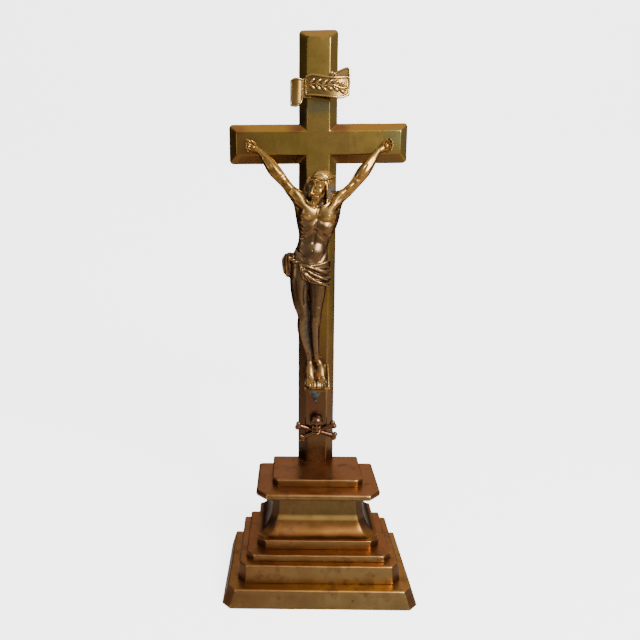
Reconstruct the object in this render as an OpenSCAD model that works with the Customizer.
// Standing altar cross in cast brass with a bronze corpus, on a stepped, flat-backed hollow base.
// Millimetres. X to the viewer's right, Y to the back, Z up; origin under the middle of the base.

/* [Base] */
// Width of the plinth along its lower edge
base_width = 138; // [90:1:220]
// Depth of the plinth from its flat back to its front
base_depth = 80; // [50:1:130]
// Height of the plinth tier
plinth_height = 12.2; // [8:0.1:20]
// How much narrower the plinth's top is than its foot, on each side
plinth_batter = 3.4; // [0:0.1:6]
// Cut across the base's front corners
corner_cut = 6; // [3:0.5:10]
// Thickness of the hollow castings' back wall
back_wall = 6; // [4:0.5:10]
// Width and depth of the lower step
lower_step_plan = [117.2, 68.8]; // [110:1:124] by [66:1:74]
// Height of the lower step
lower_step_height = 13.3; // [6:0.1:25]
// Width and depth of the middle step
middle_step_plan = [105.6, 62.6]; // [98:1:112] by [58:1:66]
// Height of the middle step
middle_step_height = 4.7; // [3:0.1:12]
// Width and depth of the upper step
upper_step_plan = [90.4, 54.6]; // [84:1:96] by [50:1:58]
// Height of the upper step
upper_step_height = 6.9; // [3:0.1:12]

/* [Pedestal] */
// Width and depth of the neck at its waist, the same as the top block's
block_plan = [67.5, 42.5]; // [60:1:74] by [40:1:46]
// Height of the neck casting
neck_height = 31.5; // [20:0.1:50]
// Height of the neck's concave sweep above the upper step
cove_height = 23; // [10:0.5:30]
// Width and depth of the cap plate
cap_plan = [91.2, 55]; // [80:1:104] by [48:1:62]
// Thickness of the cap plate
cap_thickness = 4.8; // [3:0.1:10]
// Height of the top block
block_height = 5.7; // [4:0.1:15]

/* [Cross] */
// Height of the whole object
total_height = 400; // [300:1:600]
// Width of the upright and of the crossbar
bar_width = 27.6; // [15:0.1:50]
// Thickness of the cross, back to front
bar_thickness = 10.2; // [6:0.1:20]
// Tip to tip length of the crossbar
crossbar_length = 129.2; // [80:0.1:220]
// Height of the crossbar's centre line
crossbar_z = 323; // [250:1:500]
// Width of the bevel around the front, seen from the front
bevel_width = 5.8; // [2:0.1:10]
// Depth of that bevel
bevel_depth = 6.2; // [2:0.1:8]

/* [Corpus and ornaments] */
// Height of the figure's scalp above the floor
head_z = 299.5; // [250:0.5:400]
// Height of the figure's hands
hand_z = 320; // [260:0.5:420]
// Height of the foot board's front edge
board_z = 144; // [100:0.5:250]
// Height of the skull's centre
skull_z = 111.5; // [95:0.5:200]
// Height of the scroll's centre
scroll_z = 360.5; // [340:0.5:450]
// Radius of the nails' shanks
nail_r = 0.9; // [0.5:0.1:2]

/* [Fixings] */
// Radius of the tie rod's shank
rod_r = 3; // [2:0.1:5]
// Radius of the two screws that hold the cross
screw_r = 2; // [1.5:0.1:3]
// Radial clearance of a fixing in its hole
fixing_gap = 0.05; // [0.02:0.01:0.2]

/* [Hidden] */
back_y = base_depth / 2;
z_lower = plinth_height;
z_middle = z_lower + lower_step_height;
z_upper = z_middle + middle_step_height;
z_neck = z_upper + upper_step_height;
z_cap = z_neck + neck_height;
z_block = z_cap + cap_thickness;
z_cross = z_block + block_height;
front_y = back_y - bar_thickness;
bevel_y = front_y + bevel_depth;
rod_y = back_y - block_plan[1] / 2;
screw_x = 7;
screw_y = back_y - 5.1;
cove_run = (upper_step_plan[0] - block_plan[0]) / 2 - 0.5;
neck_floor = z_cap - 6.6;
plinth_hollow = [104, 62];
lower_hollow = [92, 56];
middle_hollow = [78, 48.5];
upper_hollow = [72, 46];
neck_hollow = [52, 36];
bar_size = [100, 11, 4];
washer_h = 1.2;
nut_h = 4.6;
edge = 0.9;
hand_l = [-46.6, front_y - 2, hand_z - 0.3];
hand_r = [48.2, front_y - 2, hand_z - 0.6];
nail_x = [hand_l[0], hand_r[0]];
shoulder_l = [-15.2, back_y - 20, 288.6];
shoulder_r = [14.0, back_y - 20, 288];
elbow_l = [-27.6, back_y - 18.5, 300.3];
elbow_r = [27.6, back_y - 18.5, 297.5];
wrist_l = [-42.2, back_y - 14.2, 315.2];
wrist_r = [43.6, back_y - 14.2, 314.2];
joint_l = [-12.4, back_y - 19.5, 285.6];
joint_r = [11.4, back_y - 19.5, 285.4];
foot_l = [-5.9, back_y - 16.3, 153.2];
foot_r = [3.8, back_y - 16.1, 152.8];
board_top = board_z + 15;
board_out = 13;
board_t = 1.7;
scroll_x = 6.4;
scroll_pin_x = [-5.5, 8];
scroll_pin_l = [2.2, 4.2];
bow_r = 34;
band_h = 16;
brass = [0.62, 0.46, 0.20];
old_brass = [0.47, 0.34, 0.17];
bronze = [0.42, 0.27, 0.15];
steel = [0.55, 0.54, 0.52];

// ring of a flat-backed plan with cut front corners, at height z
function ring(w, d, c, z) = [[-w / 2, back_y, z], [-w / 2, back_y - d + c, z], [-w / 2 + c, back_y - d, z],
  [w / 2 - c, back_y - d, z], [w / 2, back_y - d + c, z], [w / 2, back_y, z]];

// solid through a stack of such rings
module loft(rings) {
  n = len(rings);
  pts = [for (r = rings) for (p = r) p];
  sides = [for (k = [0:n - 2]) for (i = [0:5])
    [k * 6 + i, (k + 1) * 6 + i, (k + 1) * 6 + (i + 1) % 6, k * 6 + (i + 1) % 6]];
  polyhedron(points = pts, convexity = 6,
    faces = concat([[0, 1, 2, 3, 4, 5]], sides, [[for (i = [5:-1:0]) (n - 1) * 6 + i]]));
}

// one tier: straight or battered sides with a small bevel along the top edge
module tier(plan, z0, h, c, batter = 0) {
  w = plan[0];
  d = plan[1];
  b = batter * (h - edge) / h;
  loft([ring(w, d, c, z0),
    ring(w - 2 * b, d - b, c, z0 + h - edge),
    ring(w - 2 * batter - 2 * edge, d - batter - edge, c - edge * 0.4, z0 + h)]);
}

// rectangular hollow, open from z0 to z1
module hollow(plan, z0, z1) {
  translate([-plan[0] / 2, back_y - plan[1], z0]) cube([plan[0], plan[1] - back_wall, z1 - z0]);
}

module plinth() {
  color(old_brass) difference() {
    tier([base_width, base_depth], 0, plinth_height, corner_cut, plinth_batter);
    hollow(plinth_hollow, -1, plinth_height + 1);
  }
}

module lower_step() {
  color(old_brass) difference() {
    tier(lower_step_plan, z_lower, lower_step_height, corner_cut, 0.8);
    hollow(lower_hollow, z_lower - 1, z_middle + 1);
  }
}

module middle_step() {
  color(old_brass) difference() {
    tier(middle_step_plan, z_middle, middle_step_height, corner_cut, 0.3);
    hollow(middle_hollow, z_middle - 1, z_upper + 1);
  }
}

module upper_step() {
  color(old_brass) difference() {
    tier(upper_step_plan, z_upper, upper_step_height, corner_cut + 0.8);
    hollow(upper_hollow, z_upper - 1, z_neck + 1);
  }
}

// concave pedestal: a quarter-ellipse sweep from the step up to a straight waist
module neck() {
  steps = 12;
  cut = corner_cut - 0.5;
  function out(i) = cove_run * (1 - cos(90 * i / steps));
  function up(i) = cove_height * (1 - sin(90 * i / steps));
  color(brass) difference() {
    loft(concat(
      [for (i = [steps:-1:0]) ring(block_plan[0] + 2 * out(i), block_plan[1] + out(i), cut + out(i) * 0.12,
        z_neck + 0.8 * (i < steps ? 1 : 0) + up(i))],
      [ring(block_plan[0], block_plan[1], cut, z_cap - 3.2),
       ring(block_plan[0] + 3, block_plan[1] + 1.5, cut + 0.3, z_cap - 1.6),
       ring(block_plan[0] + 8, block_plan[1] + 4, cut + 0.8, z_cap)]));
    hollow(neck_hollow, z_neck - 1, neck_floor);
    rod_hole(z_cap);
  }
}

module cap_plate() {
  c = corner_cut + 2;
  w = cap_plan[0];
  d = cap_plan[1];
  color(brass) difference() {
    loft([ring(w - 3.6, d - 1.8, c - 0.7, z_cap), ring(w - 0.8, d - 0.4, c - 0.2, z_cap + 1.2),
      ring(w, d, c, z_cap + 2.2), ring(w, d, c, z_block - 1.6), ring(w - 1, d - 0.5, c - 0.2, z_block - 0.6),
      ring(w - 3, d - 1.5, c - 0.6, z_block)]);
    rod_hole(z_block);
  }
}

module top_block() {
  color(brass) difference() {
    tier(block_plan, z_block, block_height, corner_cut - 1.5);
    translate([0, rod_y, z_block - 1]) cylinder(r = rod_r + fixing_gap, h = block_height, $fn = 48);
    for (s = [-1, 1]) translate([s * screw_x, screw_y, z_block])
      screw_shape(fixing_gap, 12);
  }
}

// clearance hole for the tie rod up to the height given
module rod_hole(z) {
  translate([0, rod_y, neck_floor - 1]) cylinder(r = rod_r + fixing_gap, h = z - neck_floor + 2, $fn = 48);
}

// countersunk screw standing head down
module screw_shape(gap, l) {
  cylinder(r1 = screw_r * 2 + gap, r2 = screw_r + gap, h = 2.2, $fn = 36);
  cylinder(r = screw_r + gap, h = block_height + l, $fn = 36);
}

// one bevelled bar of the cross, lying between two corners of its outline
module bevelled_bar(x0, z0, x1, z1, zf) {
  r = 1.2;
  hull() {
    for (x = [x0 + r, x1 - r], z = [z0 + (zf < z0 + 1 ? 0 : r), z1 - r])
      translate([x, back_y, z]) rotate([90, 0, 0]) cylinder(r = r, h = back_y - bevel_y, $fn = 24);
    translate([x0, bevel_y, z0]) cube([x1 - x0, back_y - bevel_y, r]);
    translate([x0 + bevel_width, front_y, zf])
      cube([x1 - x0 - 2 * bevel_width, 0.01, z1 - bevel_width - zf]);
  }
}

module cross() {
  h = bar_width / 2;
  l = crossbar_length / 2;
  color(brass) difference() {
    union() {
      bevelled_bar(-h, z_cross, h, total_height, z_cross);
      hull() {
        for (x = [-l + 1.5, l - 1.5], z = [crossbar_z - h + 1.5, crossbar_z + h - 1.5])
          translate([x, back_y, z]) rotate([90, 0, 0]) cylinder(r = 1.5, h = back_y - bevel_y, $fn = 24);
        translate([-l + bevel_width, front_y, crossbar_z - h + bevel_width])
          cube([2 * (l - bevel_width), 0.01, 2 * (h - bevel_width)]);
      }
    }
    for (s = [-1, 1]) translate([s * screw_x, screw_y, z_block]) screw_shape(fixing_gap, 12);
    nail_holes();
  }
}

// every hole that a nail, pin or rivet makes in the cross's front
module nail_holes() {
  for (x = nail_x) pin_hole(x, hand_z - 0.4);
  for (f = [foot_l, foot_r]) pin_hole(f[0], f[2]);
  for (x = scroll_pin_x) pin_hole(x, scroll_z);
  pin_hole(0, board_z - 5.5);
  pin_hole(0, skull_z - 6.5);
}

module pin_hole(x, z) {
  translate([x, front_y + 6, z]) rotate([90, 0, 0]) cylinder(r = nail_r + fixing_gap, h = 8, $fn = 24);
}

// blind socket in the back of an ornament, and the hidden pin in it
module pin_socket(x, z, l) {
  translate([x, front_y + 1, z]) rotate([90, 0, 0])
    cylinder(r = nail_r + fixing_gap, h = l + 1 + fixing_gap, $fn = 24);
}

module pin(x, z, l) {
  translate([x, front_y + 5.5, z]) rotate([90, 0, 0]) cylinder(r = nail_r, h = l + 5.5, $fn = 24);
}

// round-headed nail driven to the back, with its head at depth y
module nail(x, y, z, head = 1.7) {
  translate([x, front_y + 5.5, z]) rotate([90, 0, 0]) cylinder(r = nail_r, h = front_y + 5.5 - y, $fn = 24);
  translate([x, y + 0.01, z]) rotate([90, 0, 0]) cylinder(r1 = head, r2 = head * 0.55, h = 1.1, $fn = 24);
}

module cross_screws() {
  color(steel) for (s = [-1, 1]) translate([s * screw_x, screw_y, z_block]) screw_shape(0, 11);
}

module tie_rod() {
  z0 = z_lower - bar_size[2] - washer_h - nut_h - 1.5;
  color(steel) translate([0, rod_y, z0]) cylinder(r = rod_r, h = z_block + block_height - 1.2 - z0, $fn = 48);
}

module tie_bar() {
  color(steel) difference() {
    translate([-bar_size[0] / 2, rod_y - bar_size[1] / 2, z_lower - bar_size[2]]) cube(bar_size);
    translate([0, rod_y, 0]) cylinder(r = rod_r + fixing_gap, h = 30, $fn = 48);
  }
}

module tie_washer() {
  color(steel) translate([0, rod_y, z_lower - bar_size[2] - washer_h]) difference() {
    cylinder(r = 6, h = washer_h, $fn = 48);
    translate([0, 0, -1]) cylinder(r = rod_r + fixing_gap, h = 5, $fn = 48);
  }
}

module tie_nut() {
  color(steel) translate([0, rod_y, z_lower - bar_size[2] - washer_h - nut_h]) difference() {
    cylinder(r = 5.7, h = nut_h, $fn = 6);
    translate([0, 0, -1]) cylinder(r = rod_r + fixing_gap, h = 9, $fn = 48);
  }
}

module arc_band(r, t, a0, a1, h) {
  rotate([0, 0, a0]) rotate_extrude(angle = a1 - a0, $fn = 120) translate([r - t, 0]) square([t, h]);
}

// scroll: a bowed band whose left end turns back and drops, and whose right end rolls over behind
module scroll() {
  t = 1.7;
  color(brass) difference() {
    union() {
      translate([scroll_x, front_y + bow_r - 5.4, scroll_z - band_h / 2])
        arc_band(bow_r, t, 244.5, 296.5, band_h);
      translate([-14.6, front_y - 1.2, scroll_z - 13.3]) rotate([0, 4, 0])
        cylinder(r = 1.7, h = 19.5, $fn = 24);
      translate([-20.4, front_y - 2.4, scroll_z - 13.4]) cube([11.2, 1.6, 19.6]);
      translate([-9.4, front_y - 2.4, scroll_z - 8]) cube([2, 2.4, 14.2]);
      translate([8.4, front_y - 3, scroll_z + 3]) cube([13, 1.6, 10.6]);
      translate([19.6, front_y - 4, scroll_z - 8]) cube([1.8, 3, 21]);
      translate([-8, front_y - 1.4, scroll_z - 3]) cube([5, 1.4, 6]);
      translate([5, front_y - 4, scroll_z - 3]) cube([6, 4, 6]);
    }
    for (i = [0, 1]) pin_socket(scroll_pin_x[i], scroll_z, scroll_pin_l[i]);
  }
}

module scroll_pins() {
  color(brass) for (i = [0, 1]) pin(scroll_pin_x[i], scroll_z, scroll_pin_l[i]);
}

// rounded limb between two balls
module limb(a, ra, b, rb) {
  hull() {
    translate(a) sphere(r = ra, $fn = 20);
    translate(b) sphere(r = rb, $fn = 20);
  }
}

// flattened rounded mass
module mass(p, s) {
  translate(p) scale(s) sphere(r = 1, $fn = 24);
}

// everything beyond the plane where an arm meets its shoulder
module beyond(j, side) {
  translate(j) rotate([0, side * -45, 0]) translate([side > 0 ? 0 : -30, -30, -30]) cube([30, 60, 60]);
}

module torso() {
  hull() {
    mass([-7, back_y - 20, 281], [8.2, 8, 7]);
    mass([6.2, back_y - 20, 280.5], [8.2, 8, 7]);
    mass([-7.4, back_y - 19.5, 268], [7.6, 8.4, 8]);
    mass([3.6, back_y - 19.5, 268], [7.6, 8.4, 8]);
  }
  hull() {
    mass([-5.8, back_y - 20, 264], [8.4, 7.6, 7]);
    mass([1.6, back_y - 20, 264], [8.4, 7.6, 7]);
    mass([-5.4, back_y - 20.5, 247], [9, 7.6, 7]);
    mass([-1, back_y - 20.5, 247], [8, 7.6, 7]);
  }
}

module loincloth() {
  hull() {
    mass([-12, back_y - 21, 238], [9.2, 9.2, 7]);
    mass([-1.4, back_y - 21, 235], [8.4, 9.2, 8]);
    mass([-2.2, back_y - 22, 227], [8.6, 9, 6]);
  }
  hull() {
    mass([-22, back_y - 20, 242], [4.6, 5, 5]);
    mass([-22.6, back_y - 19, 232], [3.8, 4.6, 5.5]);
  }
}

module head() {
  translate([0.2, back_y - 25, 289.2]) rotate([10, 0, 0]) {
    mass([0.6, 0, 1], [9.2, 9.4, 10.6]);
    mass([-1.8, -2.8, -6.2], [5.6, 5.4, 6.6]);
    mass([6.8, 2.6, -6.4], [3.4, 3.6, 8.2]);
  }
  limb([0, back_y - 22, 279], 5.4, [0.2, back_y - 23.5, 286], 5);
}

module legs() {
  limb([-13.2, back_y - 21.5, 232], 7.6, [-11.4, back_y - 27, 201], 4.9);
  limb([-2.2, back_y - 21.5, 230], 7.4, [-3, back_y - 26, 200], 4.6);
  limb([-11.2, back_y - 26.5, 200], 4.8, [-9.2, back_y - 19.5, 183], 4.5);
  limb([-9.2, back_y - 19.5, 183], 4.5, [-6.6, back_y - 16.6, 161], 3);
  limb([-2.8, back_y - 25.5, 199], 4.5, [-0.6, back_y - 19.5, 183], 4.3);
  limb([-0.6, back_y - 19.5, 183], 4.3, [3, back_y - 16.4, 160.5], 2.9);
  for (f = [[-6.4, -5.6], [3, 4.2]]) {
    limb([f[0], back_y - 16, 161], 3.2, [f[0], back_y - 14.8, 157], 3.3);
    limb([f[0], back_y - 14.8, 157], 3.3, [f[1], back_y - 22.6, 149], 2.9);
  }
}

// space under the soles, where the sloping board is
module under_soles() {
  slope = (board_top - board_z) / board_out;
  translate([-20, 0, 0]) rotate([90, 0, 90]) linear_extrude(height = 40)
    polygon([[front_y + 3, board_top + 3 * slope], [front_y - 30, board_top - 30 * slope],
      [front_y - 30, 100], [front_y + 3, 100]]);
}

// trunk with the flat faces that the arms are dowelled to
module trunk() {
  difference() {
    union() {
      torso();
      limb(joint_l, 5.6, [-9, back_y - 20, 281], 6.4);
      limb(joint_r, 5.6, [8, back_y - 20, 280.6], 6.4);
    }
    beyond(joint_l, -1);
    beyond(joint_r, 1);
  }
}

module corpus_body() {
  color(bronze) difference() {
    union() {
      trunk();
      loincloth();
      head();
      legs();
    }
    translate([-60, front_y, 100]) cube([120, 60, 250]);
    under_soles();
    arm_dowel(joint_l, -1, fixing_gap);
    arm_dowel(joint_r, 1, fixing_gap);
    for (f = [foot_l, foot_r]) translate([f[0], front_y + 1, f[2]]) rotate([90, 0, 0])
      cylinder(r = nail_r + fixing_gap, h = 20, $fn = 24);
  }
}

module arm(j, side, shoulder, elbow, wrist, hand, spread) {
  difference() {
    union() {
      limb(j, 5.5, shoulder, 4.7);
      limb(shoulder, 4.7, elbow, 3.9);
      limb(elbow, 3.9, elbow + (wrist - elbow) * 0.3, 4.1);
      limb(elbow + (wrist - elbow) * 0.3, 4.1, wrist, 2.2);
      limb(wrist, 2.2, hand, 2.6);
      limb(hand, 2.4, hand + spread, 1.6);
    }
    translate([-100, front_y, 200]) cube([200, 60, 200]);
    difference() {
      translate([j[0] - side * 15 - 15, j[1] - 30, j[2] - 30]) cube([30, 60, 60]);
      beyond(j, side);
    }
    arm_dowel(j, side, fixing_gap);
    translate([hand[0], front_y + 1, hand_z - 0.4]) rotate([90, 0, 0])
      cylinder(r = nail_r + fixing_gap, h = 20, $fn = 24);
  }
}

module arm_left() {
  color(bronze) arm(joint_l, -1, shoulder_l, elbow_l, wrist_l, hand_l, [-5.6, 0.2, 6]);
}

module arm_right() {
  color(bronze) arm(joint_r, 1, shoulder_r, elbow_r, wrist_r, hand_r, [3, -1, 5.2]);
}

// dowel through an arm's joint face
module arm_dowel(j, side, gap) {
  translate(j) rotate([0, side * 45, 0]) translate([0, 0, -4 - gap])
    cylinder(r = 1.5 + gap, h = 8 + 2 * gap, $fn = 24);
}

module arm_dowels() {
  color(steel) {
    arm_dowel(joint_l, -1, 0);
    arm_dowel(joint_r, 1, 0);
  }
}

module hand_nails() {
  color(bronze) for (h = [hand_l, hand_r]) nail(h[0], front_y - 4.6, hand_z - 0.4);
}

module foot_nails() {
  color(bronze) for (f = [foot_l, foot_r]) nail(f[0], front_y - 12.6, f[2], 1.5);
}

// sloping board under the soles, on a tapered bracket
module foot_board() {
  color(brass) difference() {
    union() {
      translate([-10.2, 0, 0]) rotate([90, 0, 90]) linear_extrude(height = 19.2)
        polygon([[front_y, board_top], [front_y - board_out, board_z],
          [front_y - board_out, board_z - board_t], [front_y, board_top - board_t * 1.6]]);
      translate([-6.6, 0, 0]) rotate([90, 0, 90]) linear_extrude(height = 9.2)
        polygon([[front_y, board_top - board_t], [front_y - board_out + 1, board_z],
          [front_y - board_out + 2.5, board_z - 1.6], [front_y, board_z - 1.6]]);
      hull() {
        translate([-6.6, front_y - board_out + 2.5, board_z - 1.8]) cube([9.2, board_out - 2.5, 0.4]);
        translate([-1.6, front_y - 1.6, board_z - 15.5]) cube([2.6, 1.6, 1]);
      }
    }
    pin_socket(0, board_z - 5.5, 5);
  }
}

module board_rivet() {
  color(brass) pin(0, board_z - 5.5, 5);
}

module skull() {
  color(bronze) difference() {
    union() {
      mass([0, front_y - 4, skull_z + 2.2], [5, 4.4, 5.3]);
      hull() {
        translate([0, front_y - 3.6, skull_z - 1]) cylinder(r = 3.3, h = 1, $fn = 24);
        translate([0, front_y - 3.2, skull_z - 7]) cylinder(r = 2.2, h = 1, $fn = 24);
      }
    }
    translate([-20, front_y - 2, skull_z - 20]) cube([40, 10, 40]);
    for (s = [-1, 1]) translate([s * 1.9, front_y - 8.4, skull_z + 1.2]) sphere(r = 1.35, $fn = 20);
    pin_socket(0, skull_z - 6.5, 4);
  }
}

module bone(a, b) {
  across = cross(b - a, [0, 1, 0]) / norm(b - a);
  limb(a, 1.5, b, 1.5);
  for (e = [a, b], s = [-1, 1]) translate(e + s * 1.5 * across) sphere(r = 1.75, $fn = 20);
}

module crossbones() {
  y = front_y - 1;
  color(bronze) difference() {
    union() {
      bone([-13.9, y, skull_z - 1.8], [13.9, y, skull_z - 10.1]);
      bone([13.1, y, skull_z - 0.8], [-11, y, skull_z - 11.8]);
    }
    translate([-30, front_y, skull_z - 20]) cube([60, 10, 40]);
    translate([-5, front_y - 12, skull_z - 10]) cube([10, 10, 16]);
    pin_socket(0, skull_z - 6.5, 4);
  }
}

module emblem_pin() {
  color(brass) pin(0, skull_z - 6.5, 4);
}

plinth();
lower_step();
middle_step();
upper_step();
neck();
cap_plate();
top_block();
cross();
cross_screws();
tie_rod();
tie_bar();
tie_washer();
tie_nut();
scroll();
scroll_pins();
corpus_body();
arm_left();
arm_right();
arm_dowels();
hand_nails();
foot_nails();
foot_board();
board_rivet();
skull();
crossbones();
emblem_pin();
